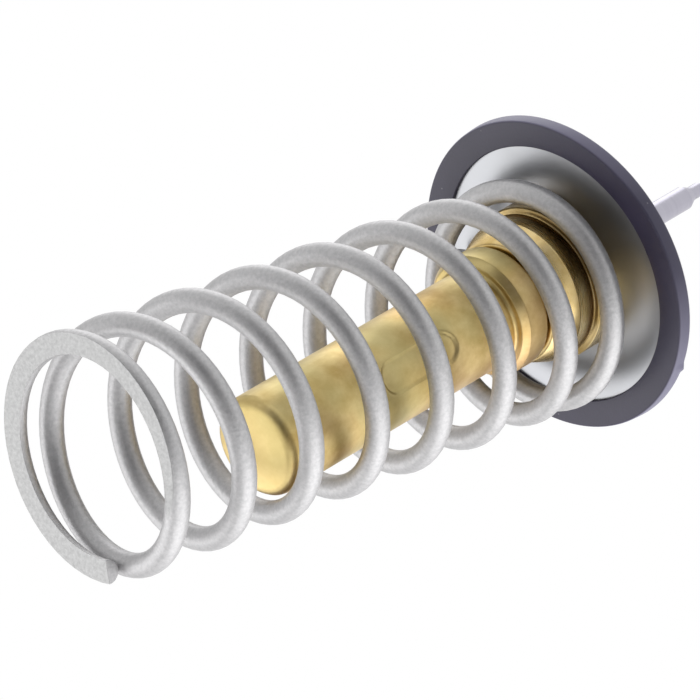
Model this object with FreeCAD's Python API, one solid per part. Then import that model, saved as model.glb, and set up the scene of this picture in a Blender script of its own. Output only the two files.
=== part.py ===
import FreeCAD, Part
import math
import os

from FreeCAD import Vector

# Engine thermostat insert, in millimetres. It stands on the ground end of its return spring, +Z up.
# The origin lies on the surface it stands on, under the middle of the valve disc.

# Return spring: right-handed round wire, lower end closed and ground flat, upper end closed and left round
wire_d = 3.8
spring_mean_d = 35.2
spring_turns = 8.3
coil_pitch = 13.65
ground_end_rise = 1.8
ground_end_turns = 0.813
ground_blend_turns = 0.15
plain_end_rise = 3.6
plain_end_turns = 0.813
plain_blend_turns = 0.25
tip_height = 0.0
tip_bearing_deg = 107.0

# Lean of the valve in its loose spring, towards -Y, and where the spring's axis stands
valve_lean_deg = 7.6
spring_x = -1.2
spring_y = 2.0
seat_gap = 0.2

# Rubber rim moulded round the disc's edge
rim_d = 53.4
rim_bite_w = 4.7
rim_bite_d = rim_d - 2 * rim_bite_w
rim_face_inset = 1.0
rim_face_d = rim_d - 2 * rim_face_inset
rim_lip_t = 0.6
rim_face_rise = 1.0
rim_edge_t = 1.15
rim_crown_t = 1.7
rim_seal_t = 1.6
rim_seal_w = 1.7
rim_seal_inset = 2.95
rim_seal_d = rim_d - 2 * rim_seal_inset

# Valve disc: flat pressed steel
disc_t = 1.4
disc_inset = 2.4
disc_d = rim_d - 2 * disc_inset

# Spring collar: turned brass, centres the upper coil
collar_len = 12.7
collar_face_d = 20.4
collar_hub_len = 8.0
collar_flange_t = 4.6
collar_relief_depth = 6.5
collar_wall = 1.4
collar_step = 1.1
coil_clear = 2.55
collar_flange_d = spring_mean_d - wire_d - 2 * coil_clear
collar_hub_d = collar_flange_d - 2 * collar_step

# Guide body: turned brass, with a flange, a shank for the collar, a spigot for the disc and a nose
shank_d = 14.0
spigot_d = 12.0
spigot_len = 9.0
neck_d = 10.4
neck_len = 2.5
flange_t = 2.8
plug_seat_d = 11.2
plug_taper_len = 4.1
plug_neck_len = 0.8

# Wax cup: deep-drawn brass, its mouth widened and rolled over the guide's flange
cup_d = 16.4
cup_len = 56.9
cup_wall = 1.0
cup_end_r = 1.8
band_d = 20.6
band_wall = 1.1
band_bevel = 0.9
lip_t = 0.9
lip_bore_d = 15.8
shoulder_t = 0.8
collar_gap = 0.9

# Pressed dents in the cup's side
dent_depth = 0.4
dent_width = 5.2
dent_len = 16.6
dent_from_mouth = 18.4
dent_bearing_deg = 2.0
dent_count = 2

# Inner pieces
diaphragm_t = 1.0
bead_mean_d = 10.6
bead_d = 1.6
washer_t = 0.8
wax_clear = 0.4

# Piston pin, wiper and retaining ring
pin_d = 4.0
pin_len = 49.0
pin_cone_len = 1.8
pin_nose_len = 2.6
pin_nose_d = 2.4
pin_tip_r = 0.5
pin_chamfer = 0.4
wiper_t = 1.5
wiper_lip = 0.5
cap_wall = 0.45
cap_mouth_d = 5.6
ring_t = 1.0
ring_d = 15.8
groove_depth = 0.8
ring_gap_deg = 50.0

# Clearances: pieces pressed or laid together, the ring in its groove, and the pin in its bore
fit_gap = 0.02
groove_gap = 0.05
run_gap = 0.03

# Levels along the valve's own axis, from the disc's lower face
cup_mouth = -(collar_len + collar_gap)
flange_top = cup_mouth - lip_t
flange_foot = flange_top - flange_t
diaphragm_foot = flange_foot - diaphragm_t
shoulder_level = diaphragm_foot - shoulder_t
cup_foot = cup_mouth - cup_len
plug_top = flange_foot + plug_taper_len + plug_neck_len
pin_foot = plug_top + washer_t
pin_top = pin_foot + pin_len
neck_top = spigot_len + neck_len
wiper_top = neck_top + wiper_t
pin_bore_r = pin_d / 2 + run_gap

# Height of the wire's centre after a number of turns, and of the spring's top
plain_end = spring_turns - plain_end_turns


def eased(turns, blend_turns):
    """Zero before the bend, turns after it, and a parabola between."""
    if turns <= -blend_turns:
        return 0.0
    if turns >= blend_turns:
        return turns
    return (turns + blend_turns) ** 2 / (4 * blend_turns)


def wire_height(turns):
    """Height of the wire's centre: a slow rise, the open pitch, then a slow rise again."""
    opening = (coil_pitch - ground_end_rise) * eased(turns - ground_end_turns, ground_blend_turns)
    closing = (coil_pitch - plain_end_rise) * eased(turns - plain_end, plain_blend_turns)
    return tip_height + ground_end_rise * turns + opening - closing


spring_top = wire_height(spring_turns) + wire_d / 2
lean = math.radians(valve_lean_deg)
end_bearing = math.radians(tip_bearing_deg) + 2 * math.pi * spring_turns
end_y = spring_y + spring_mean_d / 2 * math.sin(end_bearing)
seat_height = spring_top + seat_gap - end_y * math.tan(lean)


def section(corners):
    """Closed face in the XZ plane from (radius, level, corner radius), with rounded corners."""
    points = [Vector(r, 0, level) for r, level, _ in corners]
    edges = []
    ends = []
    for i, (_, _, corner_r) in enumerate(corners):
        here = points[i]
        back = (points[i - 1] - here).normalize()
        ahead = (points[(i + 1) % len(points)] - here).normalize()
        if corner_r == 0:
            ends.append((here, here))
            continue
        half = back.getAngle(ahead) / 2
        tangent = corner_r / math.tan(half)
        inward = (back + ahead).normalize()
        middle = here + inward * (corner_r / math.sin(half) - corner_r)
        start, end = here + back * tangent, here + ahead * tangent
        edges.append(Part.Arc(start, middle, end).toShape())
        ends.append((start, end))
    for i in range(len(ends)):
        start, end = ends[i][1], ends[(i + 1) % len(ends)][0]
        if start.distanceToPoint(end) > 1e-6:
            edges.append(Part.LineSegment(start, end).toShape())
    return Part.Face(Part.Wire(Part.__sortEdges__(edges)))


def turned(corners):
    """Solid turned about the valve's axis from a section."""
    return section(corners).revolve(Vector(0, 0, 0), Vector(0, 0, 1), 360)


def disc(radius, low, high):
    """Plain cylinder on the valve's axis between two levels."""
    return Part.makeCylinder(radius, high - low, Vector(0, 0, low))


def placed(shape):
    """Valve piece moved from the valve's own axis to its place in the spring."""
    shape = shape.copy()
    turn = FreeCAD.Rotation(Vector(1, 0, 0), valve_lean_deg)
    shape.Placement = FreeCAD.Placement(Vector(0, 0, seat_height), turn).multiply(shape.Placement)
    return shape


def return_spring():
    """Swept wire, with its tip and first turn ground flat on the standing surface."""
    steps_per_turn = 16
    steps = round(spring_turns * steps_per_turn)
    points = []
    for i in range(steps + 1):
        turns = spring_turns * i / steps
        bearing = math.radians(tip_bearing_deg) + 2 * math.pi * turns
        x = spring_x + spring_mean_d / 2 * math.cos(bearing)
        y = spring_y + spring_mean_d / 2 * math.sin(bearing)
        points.append(Vector(x, y, wire_height(turns)))
    path = Part.BSplineCurve()
    path.interpolate(points)
    wire_round = Part.Circle(path.value(path.FirstParameter), path.tangent(path.FirstParameter)[0], wire_d / 2)
    swept = Part.Wire(path.toShape()).makePipeShell([Part.Wire(wire_round.toShape())], True, True)
    ground = Part.makeBox(2 * spring_mean_d, 2 * spring_mean_d, wire_d)
    ground.translate(Vector(-spring_mean_d, -spring_mean_d, -wire_d))
    return swept.cut(ground)


def dent_tool():
    """Long rounded prism that reaches from the dent's floor out through the cup's side."""
    low = cup_mouth - dent_from_mouth - dent_len
    half = dent_width / 2
    reach = cup_d
    slot = Part.makeBox(reach, dent_width, dent_len - dent_width, Vector(0, -half, low + half))
    for level in (low + half, low + dent_len - half):
        slot = slot.fuse(Part.makeCylinder(half, reach, Vector(0, 0, level), Vector(1, 0, 0)))
    return slot.cut(disc(cup_d / 2 - dent_depth, low - half, low + dent_len + half))


def wax_cup():
    """Closed cup with a wide band at its mouth, rolled in over the guide's flange."""
    cup_r, band_r = cup_d / 2, band_d / 2
    shape = turned([
        (0, cup_foot, 0),
        (cup_r, cup_foot, cup_end_r),
        (cup_r, shoulder_level, 0.5),
        (band_r - band_bevel, shoulder_level, 0.2),
        (band_r, shoulder_level + band_bevel, 0.2),
        (band_r, cup_mouth, 0.7),
        (lip_bore_d / 2, cup_mouth, 0.3),
        (lip_bore_d / 2, flange_top, 0),
        (band_r - band_wall, flange_top, 0),
        (band_r - band_wall, diaphragm_foot, 0),
        (cup_r - cup_wall, diaphragm_foot, 0.3),
        (cup_r - cup_wall, cup_foot + cup_wall, cup_end_r - cup_wall),
        (0, cup_foot + cup_wall, 0),
    ])
    for i in range(dent_count):
        tool = dent_tool()
        tool.rotate(Vector(0, 0, 0), Vector(0, 0, 1), dent_bearing_deg + 360 * i / dent_count)
        shape = shape.cut(tool)
    return shape


def wax_charge():
    """Pellet of wax that fills the cup up to the diaphragm's bead."""
    radius = cup_d / 2 - cup_wall - fit_gap
    top = diaphragm_foot - bead_d / 2 - wax_clear
    return turned([
        (0, cup_foot + cup_wall, 0),
        (radius, cup_foot + cup_wall, cup_end_r - cup_wall),
        (radius, top, 0.2),
        (0, top, 0),
    ])


def diaphragm():
    """Rubber disc clamped under the guide's flange, with a round bead that rolls as it moves."""
    plate = disc(band_d / 2 - band_wall - fit_gap, diaphragm_foot, flange_foot)
    bead = Part.makeTorus(bead_mean_d / 2, bead_d / 2, Vector(0, 0, diaphragm_foot))
    above = disc(bead_mean_d, flange_foot, flange_foot + bead_d)
    return plate.fuse(bead).cut(above).removeSplitter()


def fluid_plug():
    """Soft rubber cone that carries the diaphragm's push to the pin."""
    taper_top = flange_foot + plug_taper_len
    return turned([
        (0, flange_foot, 0),
        (plug_seat_d / 2 - fit_gap, flange_foot, 0),
        (pin_d / 2, taper_top, 0),
        (pin_d / 2, plug_top, 0),
        (0, plug_top, 0),
    ])


def backup_washer():
    """Hard thin washer under the pin."""
    return disc(pin_d / 2, plug_top, pin_foot)


def guide_body():
    """Turned guide: flange in the cup's mouth, shank, spigot with the ring's groove, neck, pin bore."""
    flange_r = band_d / 2 - band_wall - fit_gap
    shank_r, spigot_r, neck_r = shank_d / 2, spigot_d / 2, neck_d / 2
    groove_top = disc_t + ring_t + 2 * groove_gap
    taper_top = flange_foot + plug_taper_len
    return turned([
        (plug_seat_d / 2, flange_foot, 0),
        (flange_r, flange_foot, 0.2),
        (flange_r, flange_top, 0.2),
        (shank_r, flange_top, 0),
        (shank_r, 0, 0.2),
        (spigot_r, 0, 0),
        (spigot_r, disc_t, 0),
        (spigot_r - groove_depth, disc_t, 0),
        (spigot_r - groove_depth, groove_top, 0),
        (spigot_r, groove_top, 0),
        (spigot_r, spigot_len, 0.5),
        (neck_r, spigot_len, 0),
        (neck_r, neck_top, 0.3),
        (pin_bore_r, neck_top, 0),
        (pin_bore_r, taper_top, 0),
    ])


def wiper_seal():
    """Rubber wiper on the guide's neck, with a lip up round the pin."""
    outer = neck_d / 2
    lip_r = pin_bore_r + wiper_lip
    return turned([
        (pin_bore_r, neck_top, 0),
        (outer, neck_top, 0),
        (outer, wiper_top, 0.2),
        (lip_r + wiper_lip, wiper_top, 0),
        (lip_r, wiper_top + wiper_lip, 0),
        (pin_bore_r, wiper_top + wiper_lip, 0),
    ])


def wiper_cap():
    """Pressed steel cap over the neck, which holds the wiper down."""
    inner = neck_d / 2 + fit_gap
    outer = inner + cap_wall
    top = wiper_top + cap_wall
    return turned([
        (inner, spigot_len, 0),
        (outer, spigot_len, 0),
        (outer, top, 0.6),
        (cap_mouth_d / 2 + wiper_lip, top, 0),
        (cap_mouth_d / 2 + wiper_lip, wiper_top, 0),
        (inner, wiper_top, 0),
    ])


def spring_collar():
    """Collar on the shank, stepped to centre the upper coil and relieved behind."""
    bore_r = shank_d / 2 + fit_gap
    hub_r, flange_r = collar_hub_d / 2, collar_flange_d / 2
    relief_in, relief_out = bore_r + collar_wall, hub_r - collar_wall
    return turned([
        (bore_r, -collar_len, 0.2),
        (collar_face_d / 2, -collar_len, 0.8),
        (hub_r, -collar_hub_len, 0.5),
        (hub_r, -collar_flange_t, 0.3),
        (flange_r, -collar_flange_t, 0.4),
        (flange_r, 0, 0),
        (relief_out, 0, 0),
        (relief_out, -collar_relief_depth, 0.5),
        (relief_in, -collar_relief_depth, 0.5),
        (relief_in, 0, 0),
        (bore_r, 0, 0),
    ])


def valve_disc():
    """Flat disc on the guide's spigot, its outer edge moulded into the rubber rim."""
    bore_r = spigot_d / 2 + fit_gap
    return turned([
        (bore_r, 0, 0.1),
        (disc_d / 2, 0, 0),
        (disc_d / 2, disc_t, 0),
        (bore_r, disc_t, 0.1),
    ])


def rim_seal():
    """Rubber rim: sloped face towards the spring, rounded edge, raised sealing face above."""
    bite_r, edge_r = rim_bite_d / 2, rim_d / 2
    face_level = -rim_lip_t
    edge_low = face_level - rim_face_rise + rim_edge_t
    seal_level = disc_t + rim_seal_t
    return turned([
        (bite_r, 0, 0),
        (bite_r, face_level, 0.2),
        (rim_face_d / 2, face_level - rim_face_rise, 0.4),
        (edge_r, edge_low, 0.5),
        (edge_r, seal_level - rim_crown_t, 0.5),
        (rim_seal_d / 2 + rim_seal_w / 2, seal_level, 0.4),
        (rim_seal_d / 2 - rim_seal_w / 2, seal_level, 0.4),
        (bite_r, disc_t + rim_lip_t, 0.2),
        (bite_r, disc_t, 0),
        (disc_d / 2, disc_t, 0),
        (disc_d / 2, 0, 0),
    ])


def retaining_ring():
    """Open ring in the spigot's groove, over the disc."""
    low = disc_t + groove_gap
    inner = spigot_d / 2 - groove_depth + fit_gap
    ring = disc(ring_d / 2, low, low + ring_t).cut(disc(inner, low, low + ring_t))
    half = math.radians(ring_gap_deg / 2)
    reach = ring_d
    corners = [Vector(0, 0, low), Vector(reach * math.cos(half), -reach * math.sin(half), low),
               Vector(reach * math.cos(half), reach * math.sin(half), low)]
    wedge = Part.Face(Part.makePolygon(corners + corners[:1])).extrude(Vector(0, 0, ring_t))
    return ring.cut(wedge)


def piston_pin():
    """Ground pin, coned down at its far end to a narrower rounded nose, with a small chamfer at its foot."""
    radius, nose_r = pin_d / 2, pin_nose_d / 2
    nose_foot = pin_top - pin_nose_len
    return turned([
        (0, pin_foot, 0),
        (radius - pin_chamfer, pin_foot, 0),
        (radius, pin_foot + pin_chamfer, 0),
        (radius, nose_foot - pin_cone_len, 0.3),
        (nose_r, nose_foot, 0),
        (nose_r, pin_top, pin_tip_r),
        (0, pin_top, 0),
    ])


valve_pieces = {
    "wax_cup": wax_cup, "wax_charge": wax_charge, "diaphragm": diaphragm, "fluid_plug": fluid_plug,
    "backup_washer": backup_washer, "guide_body": guide_body, "wiper_seal": wiper_seal,
    "wiper_cap": wiper_cap, "spring_collar": spring_collar, "valve_disc": valve_disc,
    "rim_seal": rim_seal, "retaining_ring": retaining_ring, "piston_pin": piston_pin,
}

os.makedirs("parts", exist_ok=True)
return_spring().exportStep("parts/return_spring.step")
for node, make in valve_pieces.items():
    placed(make()).exportStep("parts/" + node + ".step")
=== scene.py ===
import math

import bmesh
import bpy
from mathutils import Matrix, Vector


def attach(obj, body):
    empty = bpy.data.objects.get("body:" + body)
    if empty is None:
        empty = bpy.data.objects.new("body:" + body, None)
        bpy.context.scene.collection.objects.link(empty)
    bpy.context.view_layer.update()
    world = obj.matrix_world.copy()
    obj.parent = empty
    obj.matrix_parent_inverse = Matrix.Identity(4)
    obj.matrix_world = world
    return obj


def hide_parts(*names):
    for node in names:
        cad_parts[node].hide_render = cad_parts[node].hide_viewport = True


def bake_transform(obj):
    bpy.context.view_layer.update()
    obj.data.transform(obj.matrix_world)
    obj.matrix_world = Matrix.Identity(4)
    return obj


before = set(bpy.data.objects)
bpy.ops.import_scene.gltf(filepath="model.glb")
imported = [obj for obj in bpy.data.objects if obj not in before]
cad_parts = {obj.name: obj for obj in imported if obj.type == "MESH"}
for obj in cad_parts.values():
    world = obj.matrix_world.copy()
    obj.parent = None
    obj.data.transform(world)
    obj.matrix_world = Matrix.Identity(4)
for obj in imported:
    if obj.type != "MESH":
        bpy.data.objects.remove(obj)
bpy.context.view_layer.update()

# Brass wax cup
# The real cup is deep-drawn from brass sheet: a long closed tube with a wider band at its mouth, which
# is rolled in over the guide. Two shallow slots are pressed in its side, and they grip the wax.
MM = 0.001
LEAN = math.radians(7.6)
SEAT_HEIGHT = 98.6704


def on_valve_axis():
    """Leans a piece as the valve leans in the loose spring, lifts it to its seat, and turns mm to metres."""
    return Matrix.Scale(MM, 4) @ Matrix.Translation((0, 0, SEAT_HEIGHT)) @ Matrix.Rotation(LEAN, 4, "X")


def finished(shell, name, body, node):
    """Mesh object from a shape in metres, facing outwards, that rides on a body in place of a CAD node."""
    sharp_deg = 32
    bmesh.ops.recalc_face_normals(shell, faces=shell.faces[:])
    mesh = bpy.data.meshes.new(name)
    shell.to_mesh(mesh)
    shell.free()
    mesh.shade_smooth()
    mesh.set_sharp_from_angle(angle=math.radians(sharp_deg))
    piece = bpy.data.objects.new(name, mesh)
    bpy.context.scene.collection.objects.link(piece)
    if body:
        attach(piece, body)
    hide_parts(node)
    return piece


def turned_shell(outline, around=144, long_edge_cuts=0):
    """Outline of (radius, level, corner radius) in mm, rounded at its corners and spun about the axis."""
    corner_steps, same_point = 4, 0.0005
    shell = bmesh.new()
    corners = [shell.verts.new((radius, 0, level)) for radius, level, _ in outline]
    for here, ahead in zip(corners, corners[1:]):
        shell.edges.new((here, ahead))
    if outline[0][0] > 0:
        shell.edges.new((corners[-1], corners[0]))
    for corner, (_, _, round_r) in zip(corners, outline):
        if round_r == 0:
            continue
        arms = [edge.other_vert(corner).co - corner.co for edge in corner.link_edges]
        tangent = round_r / math.tan(arms[0].angle(arms[1]) / 2)
        bmesh.ops.bevel(
            shell, geom=[corner], offset=tangent, offset_type="OFFSET", affect="VERTICES",
            segments=corner_steps, profile=0.5, material=-1)
    if long_edge_cuts:
        longest = max(shell.edges, key=lambda edge: edge.calc_length() * max(v.co.x for v in edge.verts))
        bmesh.ops.subdivide_edges(shell, edges=[longest], cuts=long_edge_cuts)
    bmesh.ops.spin(
        shell, geom=shell.verts[:] + shell.edges[:], cent=(0, 0, 0), axis=(0, 0, 1), angle=2 * math.pi,
        steps=around, use_merge=True)
    bmesh.ops.remove_doubles(shell, verts=shell.verts[:], dist=same_point)
    return shell


def press_slots(shell, radius, bearings_deg):
    """Presses a long round-ended slot into the cup's side at each bearing."""
    depth, width, length, top, edge_w = 0.4, 5.2, 16.6, -32.0, 0.6
    tolerance = 0.01
    middle = top - length / 2
    straight = length / 2 - width / 2
    for vert in shell.verts:
        reach = math.hypot(vert.co.x, vert.co.y)
        if reach < radius - tolerance or abs(vert.co.z - middle) > length:
            continue
        for bearing_deg in bearings_deg:
            angle = math.atan2(vert.co.y, vert.co.x) - math.radians(bearing_deg)
            if math.cos(angle) < 0:
                continue
            along = max(abs(vert.co.z - middle) - straight, 0)
            outside = math.hypot(along, reach * math.sin(angle)) - width / 2
            share = min(max(0.5 - outside / edge_w, 0), 1)
            pressed = reach - depth * share * share * (3 - 2 * share)
            vert.co.x *= pressed / reach
            vert.co.y *= pressed / reach
            break


tube_r, slot_bearings_deg = 8.2, (2, 182)
cup = turned_shell([
    (0, -70.5, 0), (tube_r, -70.5, 1.8), (tube_r, -19.1, 0.6), (9.4, -19.1, 0.3), (10.3, -17.9, 0.3),
    (10.3, -13.6, 0.7), (7.9, -13.6, 0.3), (7.9, -14.5, 0), (9.2, -14.5, 0), (9.2, -18.3, 0),
    (7.2, -18.3, 0.3), (7.2, -69.5, 0.8), (0, -69.5, 0),
], around=260, long_edge_cuts=240)
press_slots(cup, tube_r, slot_bearings_deg)
cup.transform(on_valve_axis())
wax_cup = finished(cup, "drawn_brass_cup", "valve", "wax_cup")


def linear(code):
    """sRGB hex colour as linear red, green, blue and alpha."""
    shares = [int(code[i:i + 2], 16) / 255 for i in (1, 3, 5)]
    return [s / 12.92 if s <= 0.04045 else ((s + 0.055) / 1.055) ** 2.4 for s in shares] + [1.0]


def add(tree, kind, inputs=None, **settings):
    """One shader node with its settings. An input takes a value, or another node's output."""
    made = tree.nodes.new("ShaderNode" + kind)
    for name, value in settings.items():
        setattr(made, name, value)
    for name, value in (inputs or {}).items():
        if isinstance(value, bpy.types.NodeSocket):
            tree.links.new(value, made.inputs[name])
        else:
            made.inputs[name].default_value = value
    return made


def new_finish(name):
    """Empty node material, its tree, and object coordinates in metres."""
    finish = bpy.data.materials.new(name)
    finish.use_nodes = True
    finish.node_tree.nodes.clear()
    return finish, finish.node_tree, add(finish.node_tree, "TexCoord").outputs["Object"]


def spots(size_mm):
    """Noise scale for spots of about this size in mm, on coordinates in metres."""
    return 1 / (size_mm * MM)


def round_and_along(tree, place):
    """Coordinates on the valve's own axis, and a pair of distance from it and level along it."""
    seat = SEAT_HEIGHT * MM
    own = add(tree, "Mapping", {
        "Vector": place, "Location": (0, -seat * math.sin(LEAN), -seat * math.cos(LEAN)),
        "Rotation": (-LEAN, 0, 0)}).outputs[0]
    split = add(tree, "SeparateXYZ", {0: own})
    flat = add(tree, "CombineXYZ", {"X": split.outputs["X"], "Y": split.outputs["Y"]}).outputs[0]
    reach = add(tree, "VectorMath", {0: flat}, operation="LENGTH").outputs["Value"]
    return own, add(tree, "CombineXYZ", {"X": reach, "Y": split.outputs["Z"]}).outputs[0]


def dress(piece, finish):
    """Gives a piece one finish."""
    piece.data.materials.clear()
    piece.data.materials.append(finish)


# Satin drawn brass: drawing leaves faint long streaks and the metal tarnishes unevenly, so its gold
# shifts a little between greenish and pinkish, and small pits keep it from shining like a mirror. The
# closed end is painted a brighter yellow, as a painted highlight. The streaks and pits are drawn coarser
# than the real ones, which are too fine to show.
brass, tree, place = new_finish("satin_drawn_brass")
own, round_along = round_and_along(tree, place)
cloud = add(tree, "TexNoise", {
    "Vector": own, "Scale": spots(5.26), "Detail": 5.0, "Roughness": 0.65}).outputs[0]
bloom = add(tree, "TexNoise", {"Vector": own, "Scale": spots(16.7), "Detail": 2.0}).outputs[0]
streak_place = add(tree, "Mapping", {"Vector": own, "Scale": (1.0, 1.0, 0.08)}).outputs[0]
streak = add(tree, "TexNoise", {"Vector": streak_place, "Scale": spots(0.667), "Detail": 2.0}).outputs[0]
gold = add(tree, "MapRange", {"Value": cloud, "From Min": 0.36, "From Max": 0.64}).outputs[0]
tone = add(tree, "Mix", {
    0: gold, 6: linear("#C3A767"), 7: linear("#DEC78C")}, data_type="RGBA").outputs[2]
pink = add(tree, "MapRange", {
    "Value": bloom, "From Min": 0.46, "From Max": 0.7, "To Max": 0.42}).outputs[0]
pinkish = add(tree, "Mix", {0: pink, 6: tone, 7: linear("#CDA287")}, data_type="RGBA").outputs[2]
green = add(tree, "MapRange", {
    "Value": bloom, "From Min": 0.5, "From Max": 0.34, "To Max": 0.55}).outputs[0]
tarnished = add(tree, "Mix", {0: green, 6: pinkish, 7: linear("#B3AC7C")}, data_type="RGBA").outputs[2]
along = add(tree, "SeparateXYZ", {0: round_along}).outputs["Y"]
# Painted highlight: the closed end's colour is mixed towards a brighter yellow.
end_level = -70.0 * MM
end_highlight_share = add(tree, "MapRange", {
    "Value": along, "From Min": end_level, "From Max": end_level - 0.3 * MM, "To Max": 0.55}).outputs[0]
gold_and_end_highlight = add(tree, "Mix", {0: end_highlight_share, 6: tarnished, 7: linear("#E9D592")}, data_type="RGBA").outputs[2]
pit = add(tree, "TexNoise", {"Vector": own, "Scale": spots(0.385), "Detail": 2.0}).outputs[0]
rough = add(tree, "MapRange", {"Value": streak, "To Min": 0.36, "To Max": 0.46}).outputs[0]
grain = add(tree, "Math", {0: streak, 1: pit}, operation="ADD").outputs[0]
bump = add(tree, "Bump", {"Height": grain, "Strength": 0.1, "Distance": 0.06 * MM}).outputs[0]
shade = add(tree, "BsdfPrincipled", {
    "Base Color": gold_and_end_highlight, "Metallic": 1.0, "Roughness": rough, "Normal": bump}).outputs[0]
add(tree, "OutputMaterial", {"Surface": shade})
dress(wax_cup, brass)

# Wax pellet, diaphragm, plug and washer
# These fill the cup and hide in it: copper-filled wax, a black rubber diaphragm, a soft rubber cone
# that carries its push, and a hard white washer under the pin. They keep the shapes of the CAD model.

# Wax filled with copper powder, for heat: a dull brown with warm metal flakes in it.
wax, tree, place = new_finish("copper_filled_wax")
flakes = add(tree, "TexNoise", {"Vector": place, "Scale": spots(0.417), "Detail": 3.0}).outputs[0]
flake_share = add(tree, "MapRange", {"Value": flakes, "From Min": 0.52, "From Max": 0.66}).outputs[0]
tone = add(tree, "Mix", {
    0: flake_share, 6: linear("#8E5A3A"), 7: linear("#C98452")}, data_type="RGBA").outputs[2]
bump = add(tree, "Bump", {"Height": flakes, "Strength": 0.2, "Distance": 0.1 * MM}).outputs[0]
shade = add(tree, "BsdfPrincipled", {
    "Base Color": tone, "Roughness": 0.5, "Metallic": 0.2, "Normal": bump}).outputs[0]
add(tree, "OutputMaterial", {"Surface": shade})
dress(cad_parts["wax_charge"], wax)

# Moulded seal rubber: near black, with the soft dull shine of a clean moulding.
inner_rubber, tree, place = new_finish("moulded_seal_rubber")
grain = add(tree, "TexNoise", {"Vector": place, "Scale": spots(0.312), "Detail": 3.0}).outputs[0]
tone = add(tree, "Mix", {
    0: grain, 6: linear("#1B1B1D"), 7: linear("#34343A")}, data_type="RGBA").outputs[2]
bump = add(tree, "Bump", {"Height": grain, "Strength": 0.25, "Distance": 0.08 * MM}).outputs[0]
shade = add(tree, "BsdfPrincipled", {
    "Base Color": tone, "Roughness": 0.55, "Normal": bump}).outputs[0]
add(tree, "OutputMaterial", {"Surface": shade})
dress(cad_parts["diaphragm"], inner_rubber)
dress(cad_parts["fluid_plug"], inner_rubber)

# Hard white plastic: smooth and slightly milky.
washer_white, tree, place = new_finish("hard_white_plastic")
cloud = add(tree, "TexNoise", {"Vector": place, "Scale": spots(1.11), "Detail": 2.0}).outputs[0]
tone = add(tree, "Mix", {
    0: cloud, 6: linear("#E2E0D8"), 7: linear("#EFEDE6")}, data_type="RGBA").outputs[2]
shade = add(tree, "BsdfPrincipled", {"Base Color": tone, "Roughness": 0.35}).outputs[0]
add(tree, "OutputMaterial", {"Surface": shade})
dress(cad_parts["backup_washer"], washer_white)

# Guide body
# The real guide is turned from brass bar: a flange that the cup's mouth is rolled over, a shank for the
# collar, a spigot with a groove for the split ring, and a neck that takes the wiper. The pin slides in it.
guide = turned_shell([
    (5.6, -17.3, 0), (9.18, -17.3, 0.2), (9.18, -14.5, 0.2), (7, -14.5, 0), (7, 0, 0.2), (6, 0, 0),
    (6, 1.4, 0), (5.2, 1.4, 0), (5.2, 2.5, 0), (6, 2.5, 0.15), (6, 9, 0.5), (5.2, 9, 0),
    (5.2, 11.5, 0.3), (2.03, 11.5, 0), (2.03, -13.2, 0),
], around=120)
guide.transform(on_valve_axis())
guide_body = finished(guide, "turned_guide", "valve", "guide_body")

# Turned brass: a fine tool leaves rings about the axis that only just break up its shine, and its
# colour is more even than the drawn cup's. The rings are drawn coarser than the real ones, so that they
# show. The collar's hub below its flange is painted dark brown as painted shade, and the painted shade
# runs more faintly up one side of the flange.
turned_brass, tree, place = new_finish("turned_brass")
own, round_along = round_and_along(tree, place)
rings = add(tree, "TexNoise", {"Vector": round_along, "Scale": spots(0.385), "Detail": 1.0}).outputs[0]
cloud = add(tree, "TexNoise", {
    "Vector": own, "Scale": spots(4.76), "Detail": 4.0, "Roughness": 0.6}).outputs[0]
gold = add(tree, "MapRange", {"Value": cloud, "From Min": 0.36, "From Max": 0.64}).outputs[0]
tone = add(tree, "Mix", {
    0: gold, 6: linear("#CDB071"), 7: linear("#E6CF99")}, data_type="RGBA").outputs[2]
reach_and_level = add(tree, "SeparateXYZ", {0: round_along})
reach, level = reach_and_level.outputs["X"], reach_and_level.outputs["Y"]
# Painted shade: the hub's side below the flange, and more faintly one side of the flange, are mixed towards
# dark brown.
past_cone = add(tree, "MapRange", {
    "Value": level, "From Min": -7.4 * MM, "From Max": -5.6 * MM}).outputs[0]
below_flange = add(tree, "MapRange", {
    "Value": level, "From Min": -4.5 * MM, "From Max": -4.8 * MM}).outputs[0]
across = add(tree, "SeparateXYZ", {0: own}).outputs["Y"]
shaded_side_share = add(tree, "MapRange", {
    "Value": across, "From Min": 8 * MM, "From Max": -6 * MM, "To Min": 0.1, "To Max": 0.5}).outputs[0]
painted_shade_share = add(tree, "Math", {0: below_flange, 1: shaded_side_share}, operation="MAXIMUM").outputs[0]
outside = add(tree, "MapRange", {"Value": reach, "From Min": 11.2 * MM, "From Max": 11.6 * MM}).outputs[0]
painted_shade_share = add(tree, "Math", {0: past_cone, 1: painted_shade_share}, operation="MULTIPLY").outputs[0]
painted_shade_share = add(tree, "Math", {0: painted_shade_share, 1: outside}, operation="MULTIPLY").outputs[0]
brass_and_painted_shade = add(tree, "Mix", {0: painted_shade_share, 6: tone, 7: linear("#6A5230")}, data_type="RGBA").outputs[2]
rough = add(tree, "MapRange", {"Value": rings, "To Min": 0.24, "To Max": 0.32}).outputs[0]
bump = add(tree, "Bump", {"Height": rings, "Strength": 0.015, "Distance": 0.05 * MM}).outputs[0]
shade = add(tree, "BsdfPrincipled", {
    "Base Color": brass_and_painted_shade, "Metallic": 1.0, "Roughness": rough, "Normal": bump}).outputs[0]
add(tree, "OutputMaterial", {"Surface": shade})
dress(guide_body, turned_brass)

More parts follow.
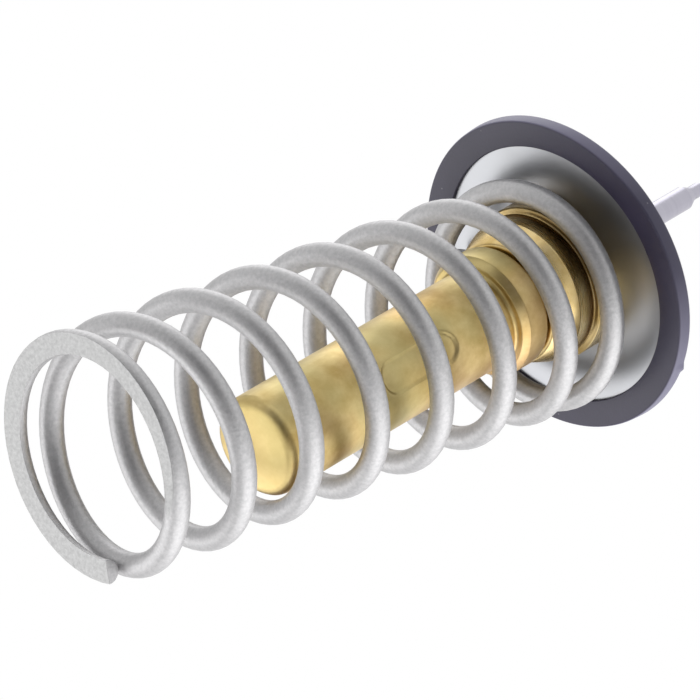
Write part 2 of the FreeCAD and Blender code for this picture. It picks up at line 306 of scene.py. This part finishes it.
# Wiper seal and its cap
# A rubber lip on the guide's neck keeps dirt off the pin. A thin pressed steel cap, pushed over the
# neck, holds it down and shows as a bright ring on the far side.
wiper = turned_shell([
    (2.03, 11.5, 0), (5.2, 11.5, 0), (5.2, 13, 0.2), (3.03, 13, 0.15), (2.53, 13.5, 0.1),
    (2.03, 13.5, 0),
], around=96)
wiper.transform(on_valve_axis())
wiper_seal = finished(wiper, "wiper_lip", "valve", "wiper_seal")
dress(wiper_seal, inner_rubber)

cap = turned_shell([
    (5.22, 9, 0), (5.67, 9, 0), (5.67, 13.45, 0.6), (3.3, 13.45, 0.1), (3.3, 13, 0), (5.22, 13, 0.15),
], around=96)
cap.transform(on_valve_axis())
wiper_cap = finished(cap, "wiper_cap_shell", "valve", "wiper_cap")

# Spring collar
# The real collar is turned brass, pushed on the guide's shank. It steps and tapers so that the spring's
# last coil centres itself on it, and it is relieved behind to save metal.
collar = turned_shell([
    (7.02, -12.7, 0.2), (10.2, -12.7, 0.8), (12.05, -8.0, 0.5), (12.05, -4.6, 0.3), (13.15, -4.6, 0.4),
    (13.15, 0, 0), (10.65, 0, 0), (10.65, -6.5, 0.5), (8.42, -6.5, 0.5), (8.42, 0, 0), (7.02, 0, 0),
], around=144)
collar.transform(on_valve_axis())
spring_collar = finished(collar, "turned_collar", "valve", "spring_collar")
dress(spring_collar, turned_brass)

# Valve disc
# The real disc is blanked from flat steel sheet, polished, and pushed on the guide's spigot. Its outer
# edge is moulded into the rubber rim.
disc = turned_shell([(6.02, 0, 0.1), (24.3, 0, 0), (24.3, 1.4, 0), (6.02, 1.4, 0.1)], around=192)
disc.transform(on_valve_axis())
valve_disc = finished(disc, "pressed_disc", "valve", "valve_disc")

# Polished steel sheet: circular polishing marks, drawn coarser than the real ones so that they show, and
# faint cloudy stains that dull its shine in places.
polished, tree, place = new_finish("polished_steel_sheet")
own, round_along = round_and_along(tree, place)
rings = add(tree, "TexNoise", {"Vector": round_along, "Scale": spots(0.385), "Detail": 2.0}).outputs[0]
cloud = add(tree, "TexNoise", {
    "Vector": own, "Scale": spots(11.1), "Detail": 4.0, "Roughness": 0.6}).outputs[0]
tone = add(tree, "Mix", {
    0: cloud, 6: linear("#A0A1A5"), 7: linear("#AEAFB1")}, data_type="RGBA").outputs[2]
rough = add(tree, "MapRange", {
    "Value": cloud, "From Min": 0.3, "From Max": 0.7, "To Min": 0.34, "To Max": 0.42}).outputs[0]
bump = add(tree, "Bump", {"Height": rings, "Strength": 0.03, "Distance": 0.05 * MM}).outputs[0]
shade = add(tree, "BsdfPrincipled", {
    "Base Color": tone, "Metallic": 1.0, "Roughness": rough, "Normal": bump}).outputs[0]
add(tree, "OutputMaterial", {"Surface": shade})
dress(valve_disc, polished)
dress(wiper_cap, polished)

# Rubber rim
# The real rim is black rubber moulded round the disc's edge. Its near face is flat, its outer wall is
# upright, and the raised face on the far side closes on the housing's seat. The mould was filled where a
# small nib is left on the outer wall.
rim = turned_shell([
    (22, 0, 0), (22, -0.6, 0.2), (26.5, -0.95, 0.35), (26.7, 1.3, 0.5), (24.6, 3.0, 0.4),
    (22.9, 3.0, 0.4), (22, 2.0, 0.2), (22, 1.4, 0), (24.3, 1.4, 0), (24.3, 0, 0),
], around=360)
nib_bearing, nib_level, nib_width, nib_height = math.radians(52), 0.9, 0.7, 0.45
outer_wall_r = 26
for vert in rim.verts:
    reach = math.hypot(vert.co.x, vert.co.y)
    across = reach * (math.atan2(vert.co.y, vert.co.x) - nib_bearing)
    nib = nib_height * math.exp(-(across * across + (vert.co.z - nib_level) ** 2) / nib_width ** 2)
    if reach > outer_wall_r:
        vert.co.x *= 1 + nib / reach
        vert.co.y *= 1 + nib / reach
rim.transform(on_valve_axis())
rim_seal = finished(rim, "moulded_rim", "valve", "rim_seal")

# Moulded black rubber: a fine matte skin, a few pale specks of dust, and a violet tinge. The outer wall
# carries a pale lilac painted highlight, most at two opposite sides.
rubber, tree, place = new_finish("moulded_black_rubber")
bloom = add(tree, "TexNoise", {"Vector": place, "Scale": spots(7.14), "Detail": 4.0}).outputs[0]
skin = add(tree, "TexNoise", {"Vector": place, "Scale": spots(0.333), "Detail": 3.0}).outputs[0]
speck = add(tree, "TexVoronoi", {"Vector": place, "Scale": spots(3.85)}).outputs["Distance"]
speck_share = add(tree, "MapRange", {"Value": speck, "From Min": 0.05, "From Max": 0.03}).outputs[0]
tone = add(tree, "Mix", {
    0: bloom, 6: linear("#272339"), 7: linear("#353049")}, data_type="RGBA").outputs[2]
dusty = add(tree, "Mix", {0: speck_share, 6: tone, 7: linear("#6E6B78")}, data_type="RGBA").outputs[2]
own, round_along = round_and_along(tree, place)
reach = add(tree, "SeparateXYZ", {0: round_along}).outputs["X"]
across = add(tree, "SeparateXYZ", {0: own}).outputs["Y"]
across = add(tree, "Math", {0: across}, operation="ABSOLUTE").outputs[0]
# Painted highlight: the outer wall is mixed towards pale lilac, most at the two sides farthest across.
highlight_sides_share = add(tree, "MapRange", {
    "Value": across, "From Min": 6 * MM, "From Max": 22 * MM, "To Min": 0.08, "To Max": 0.8}).outputs[0]
wall_highlight_share = add(tree, "MapRange", {"Value": reach, "From Min": 26.3 * MM, "From Max": 26.5 * MM}).outputs[0]
wall_highlight_share = add(tree, "Math", {0: wall_highlight_share, 1: highlight_sides_share}, operation="MULTIPLY").outputs[0]
rubber_and_highlight = add(tree, "Mix", {0: wall_highlight_share, 6: dusty, 7: linear("#8A87A2")}, data_type="RGBA").outputs[2]
bump = add(tree, "Bump", {"Height": skin, "Strength": 0.3, "Distance": 0.08 * MM}).outputs[0]
shade = add(tree, "BsdfPrincipled", {
    "Base Color": rubber_and_highlight, "Roughness": 0.45, "IOR": 1.55, "Normal": bump}).outputs[0]
add(tree, "OutputMaterial", {"Surface": shade})
dress(rim_seal, rubber)

# Split retaining ring
# The real ring is spring wire steel of flat section, open by a gap, and snapped in the spigot's groove
# over the disc, where it holds the disc against the collar.
ring_low, ring_high, ring_in, ring_out, ring_gap = 1.45, 2.45, 5.22, 7.9, math.radians(50)
ring_edge_r, square_corner = 0.12, 1.0
ring = bmesh.new()
section = ring.faces.new([
    ring.verts.new((radius, 0, level)) for radius, level in (
        (ring_in, ring_low), (ring_out, ring_low), (ring_out, ring_high), (ring_in, ring_high))])
bmesh.ops.rotate(ring, verts=ring.verts[:], cent=(0, 0, 0), matrix=Matrix.Rotation(ring_gap / 2, 3, "Z"))
bmesh.ops.spin(
    ring, geom=[section] + section.edges[:] + section.verts[:], cent=(0, 0, 0), axis=(0, 0, 1),
    angle=2 * math.pi - ring_gap, steps=80)
ring_edges = [
    edge for edge in ring.edges if len(edge.link_faces) == 2 and edge.calc_face_angle() > square_corner]
bmesh.ops.bevel(
    ring, geom=ring_edges, offset=ring_edge_r, offset_type="OFFSET", affect="EDGES", segments=2,
    profile=0.5, material=-1)
ring.transform(on_valve_axis())
retaining_ring = finished(ring, "split_ring", "valve", "retaining_ring")

# Piston pin
# The real pin is hardened steel, ground round, coned down to a narrower nose that the housing's cover
# holds. It slides out of the guide as the wax melts.
pin = turned_shell([
    (0, -11.6, 0), (1.6, -11.6, 0), (2, -11.2, 0), (2, 33.0, 0.3), (1.2, 34.8, 0), (1.2, 37.4, 0.5),
    (0, 37.4, 0),
], around=72)
pin.transform(on_valve_axis())
piston_pin = finished(pin, "ground_pin", "piston", "piston_pin")

# Ground steel: rings round the pin from grinding, drawn coarser than the real ones, which leave it bright
# but not quite a mirror.
ground_steel, tree, place = new_finish("ground_steel")
own, round_along = round_and_along(tree, place)
rings = add(tree, "TexNoise", {"Vector": round_along, "Scale": spots(0.238), "Detail": 2.0}).outputs[0]
tone = add(tree, "Mix", {
    0: rings, 6: linear("#A9A7B3"), 7: linear("#BEBCC6")}, data_type="RGBA").outputs[2]
bump = add(tree, "Bump", {"Height": rings, "Strength": 0.1, "Distance": 0.05 * MM}).outputs[0]
shade = add(tree, "BsdfPrincipled", {
    "Base Color": tone, "Metallic": 1.0, "Roughness": 0.32, "Normal": bump}).outputs[0]
add(tree, "OutputMaterial", {"Surface": shade})
dress(piston_pin, ground_steel)
dress(retaining_ring, ground_steel)

# Return spring
# The real spring is coiled from round steel wire, right-handed, with open coils between two closed
# ends, and then peened. Its near end is ground flat over nearly a turn, and its far end is left round.
wire_r, coil_r, turns_in_all = 1.9, 17.6, 8.3
middle_turn, plane_gap = 4, 0.0001
spring_x, spring_y, tip_bearing_deg = -1.2, 2.0, 107
steps_per_turn, tip_edge_r = 60, 0.25


def eased(turns, blend_turns):
    """Zero before the bend, turns after it, and a parabola between."""
    if turns <= -blend_turns:
        return 0.0
    if turns >= blend_turns:
        return turns
    return (turns + blend_turns) ** 2 / (4 * blend_turns)


def wire_height(turns):
    """Height of the wire's centre in mm after a number of turns from the ground tip."""
    pitch, ground_rise, plain_rise, end_turns = 13.65, 1.8, 3.6, 0.813
    opening_bend, closing_bend = 0.15, 0.25
    opening = (pitch - ground_rise) * eased(turns - end_turns, opening_bend)
    closing = (pitch - plain_rise) * eased(turns - (turns_in_all - end_turns), closing_bend)
    return ground_rise * turns + opening - closing


wire = bmesh.new()
bmesh.ops.create_circle(wire, cap_ends=True, radius=wire_r, segments=36)
one_pitch = wire_height(middle_turn + 0.5) - wire_height(middle_turn - 0.5)
slope = math.atan(one_pitch / (2 * math.pi * coil_r))
stand_up = Matrix.Rotation(slope - math.pi / 2, 4, "X")
bmesh.ops.transform(
    wire, verts=wire.verts[:], matrix=Matrix.Translation((coil_r, 0, wire_height(0))) @ stand_up)
front = wire.faces[:]
step_count = round(turns_in_all * steps_per_turn)
for step in range(step_count):
    rise = wire_height((step + 1) / steps_per_turn) - wire_height(step / steps_per_turn)
    spun = bmesh.ops.spin(
        wire, geom=front + front[0].edges[:] + front[0].verts[:], cent=(0, 0, 0), axis=(0, 0, 1),
        dvec=(0, 0, rise), angle=2 * math.pi / steps_per_turn, steps=1)
    front = [item for item in spun["geom_last"] if isinstance(item, bmesh.types.BMFace)]
bmesh.ops.bevel(
    wire, geom=front[0].edges[:], offset=tip_edge_r, offset_type="OFFSET", affect="EDGES", segments=2,
    profile=0.5, material=-1)
cut = bmesh.ops.bisect_plane(
    wire, geom=wire.verts[:] + wire.edges[:] + wire.faces[:], dist=plane_gap, plane_co=(0, 0, 0),
    plane_no=(0, 0, -1), clear_outer=True)
outline = [item for item in cut["geom_cut"] if isinstance(item, bmesh.types.BMEdge)]
bmesh.ops.triangle_fill(wire, use_beauty=True, use_dissolve=False, edges=outline, normal=(0, 0, -1))
bmesh.ops.transform(
    wire, verts=wire.verts[:],
    matrix=Matrix.Scale(MM, 4) @ Matrix.Translation((spring_x, spring_y, 0))
    @ Matrix.Rotation(math.radians(tip_bearing_deg), 4, "Z"))
return_spring = finished(wire, "coil_spring", None, "return_spring")
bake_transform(return_spring)

# Peened spring steel: shot leaves close small dimples, so it is an even matte grey with a fine grain.
# The dimples are drawn coarser than the real ones, so that they show. The ground face is paler, and its
# wheel marks break it up into specks.
peened, tree, place = new_finish("peened_spring_steel")
dimples = add(tree, "TexNoise", {
    "Vector": place, "Scale": spots(0.588), "Detail": 4.0, "Roughness": 0.65}).outputs[0]
cloud = add(tree, "TexNoise", {"Vector": place, "Scale": spots(6.67), "Detail": 3.0}).outputs[0]
height = add(tree, "SeparateXYZ", {0: place}).outputs["Z"]
ground = add(tree, "MapRange", {"Value": height, "From Min": 0.1 * MM, "From Max": 0.02 * MM}).outputs[0]
wheel_marks = add(tree, "TexNoise", {
    "Vector": place, "Scale": spots(0.667), "Detail": 4.0, "Roughness": 0.7}).outputs[0]
grain = add(tree, "Mix", {0: ground, 2: dimples, 3: wheel_marks}).outputs[0]
tone = add(tree, "Mix", {
    0: cloud, 6: linear("#BBBABB"), 7: linear("#C7C6C7")}, data_type="RGBA").outputs[2]
peen = add(tree, "MapRange", {
    "Value": dimples, "From Min": 0.35, "From Max": 0.65, "To Min": 0.35}).outputs[0]
tone = add(tree, "Mix", {0: peen, 6: linear("#A9A9AA"), 7: tone}, data_type="RGBA").outputs[2]
speck = add(tree, "MapRange", {"Value": wheel_marks, "From Min": 0.35, "From Max": 0.65}).outputs[0]
speckled = add(tree, "Mix", {
    0: speck, 6: linear("#9E9E9E"), 7: linear("#B3B3B3")}, data_type="RGBA").outputs[2]
both = add(tree, "Mix", {0: ground, 6: tone, 7: speckled}, data_type="RGBA").outputs[2]
bump = add(tree, "Bump", {"Height": grain, "Strength": 0.4, "Distance": 0.15 * MM}).outputs[0]
shade = add(tree, "BsdfPrincipled", {
    "Base Color": both, "Metallic": 1.0, "Roughness": 0.52, "Normal": bump}).outputs[0]
add(tree, "OutputMaterial", {"Surface": shade})
dress(return_spring, peened)

# Floor
# The part stands on a pale floor. The photograph looks up at it from below that floor, so the floor is
# drawn from above only, it lets lamplight through, and metal sees the white studio through it. It lies a
# hair above the spring's ground face, so that the face isn't shut in.
floor_half_m, hair = 3.0, 0.05 * MM
floor_shape = bmesh.new()
bmesh.ops.create_grid(
    floor_shape, x_segments=1, y_segments=1, size=floor_half_m, matrix=Matrix.Translation((0, 0, hair)))
floor_mesh = bpy.data.meshes.new("studio_floor")
floor_shape.to_mesh(floor_mesh)
floor_shape.free()
floor = bpy.data.objects.new("studio_floor", floor_mesh)
bpy.context.scene.collection.objects.link(floor)
floor_paint, tree, place = new_finish("pale_floor")
side = add(tree, "NewGeometry").outputs["Backfacing"]
ray = add(tree, "LightPath")
open_side = add(tree, "Math", {0: side, 1: ray.outputs["Is Shadow Ray"]}, operation="MAXIMUM").outputs[0]
open_side = add(tree, "Math", {
    0: open_side, 1: ray.outputs["Is Glossy Ray"]}, operation="MAXIMUM").outputs[0]
mottle = add(tree, "TexNoise", {"Vector": place, "Scale": spots(167)}).outputs[0]
tone = add(tree, "Mix", {
    0: mottle, 6: linear("#E9E9E9"), 7: linear("#EFEFEE")}, data_type="RGBA").outputs[2]
matte = add(tree, "BsdfDiffuse", {"Color": tone}).outputs[0]
clear = add(tree, "BsdfTransparent").outputs[0]
shade = add(tree, "MixShader", {0: open_side, 1: matte, 2: clear}).outputs[0]
add(tree, "OutputMaterial", {"Surface": shade})
dress(floor, floor_paint)

# Dark cloth
# A grey cloth hangs in the studio beside the photograph's camera. The metal reflects it, so the sides that
# face it look darker than the rest. It casts no shadow, and the camera itself doesn't see it.
middle = Vector((0, 0, 0.065))
cloth_half_m = 0.8
cloth_shape = bmesh.new()
bmesh.ops.create_grid(cloth_shape, x_segments=1, y_segments=1, size=cloth_half_m)
cloth_mesh = bpy.data.meshes.new("dark_cloth")
cloth_shape.to_mesh(cloth_mesh)
cloth_shape.free()
cloth = bpy.data.objects.new("dark_cloth", cloth_mesh)
bpy.context.scene.collection.objects.link(cloth)
cloth.location = (0.81, -0.27, -0.56)
cloth.rotation_euler = (middle - cloth.location).to_track_quat("Z", "Y").to_euler()
grey_cloth, tree, place = new_finish("dark_cloth")
ray = add(tree, "LightPath")
hidden = add(tree, "Math", {
    0: ray.outputs["Is Camera Ray"], 1: ray.outputs["Is Shadow Ray"]}, operation="MAXIMUM").outputs[0]
matte = add(tree, "BsdfDiffuse", {"Color": linear("#7C7C7E")}).outputs[0]
clear = add(tree, "BsdfTransparent").outputs[0]
shade = add(tree, "MixShader", {0: hidden, 1: matte, 2: clear}).outputs[0]
add(tree, "OutputMaterial", {"Surface": shade})
dress(cloth, grey_cloth)

# Studio and lamps
# The studio is white where the camera, metal and glass see it, and lights dull surfaces at half of that.
# Three soft square lamps stand beside, below and above the part.
world = bpy.data.worlds.new("white_studio")
bpy.context.scene.world = world
world.use_nodes = True
tree = world.node_tree
tree.nodes.clear()
ray = add(tree, "LightPath")
seen = add(tree, "Math", {
    0: ray.outputs["Is Camera Ray"], 1: ray.outputs["Is Glossy Ray"]}, operation="ADD").outputs[0]
seen = add(tree, "Math", {
    0: seen, 1: ray.outputs["Is Transmission Ray"]}, operation="ADD", use_clamp=True).outputs[0]
soft = add(tree, "Background", {"Color": linear("#FFFFFF"), "Strength": 0.5}).outputs[0]
white = add(tree, "Background", {"Color": linear("#FFFFFF"), "Strength": 1.0}).outputs[0]
both = add(tree, "MixShader", {0: seen, 1: soft, 2: white}).outputs[0]
add(tree, "OutputWorld", {"Surface": both})

for name, place_m, size_m, watts in (
        ("lamp_beside", (0.14, 0.95, 0.08), 1.4, 7.8),
        ("lamp_below", (-0.55, 0.08, -0.46), 0.6, 1.45),
        ("lamp_above", (-0.3, -0.65, 0.55), 0.6, 1.45)):
    lamp = bpy.data.lights.new(name, "AREA")
    lamp.shape = "SQUARE"
    lamp.size = size_m
    lamp.energy = watts
    stand = bpy.data.objects.new(name, lamp)
    bpy.context.scene.collection.objects.link(stand)
    stand.location = place_m
    stand.rotation_euler = (middle - Vector(place_m)).to_track_quat("-Z", "Y").to_euler()

# Camera
# A long lens, below and beside the part, turned to the photograph's angle.
camera_data = bpy.data.cameras.new("camera")
camera = bpy.data.objects.new("camera", camera_data)
bpy.context.scene.collection.objects.link(camera)
camera_data.sensor_width = 36.0
camera_data.lens = 238.55
camera_data.clip_end = 20.0
camera.location = (0.54912, -0.00775, -0.40474)
camera.rotation_euler = [math.radians(turn) for turn in (157.556, -46.149, 28.973)]
bpy.context.scene.camera = camera

scene = bpy.context.scene
scene.view_settings.view_transform = "Standard"
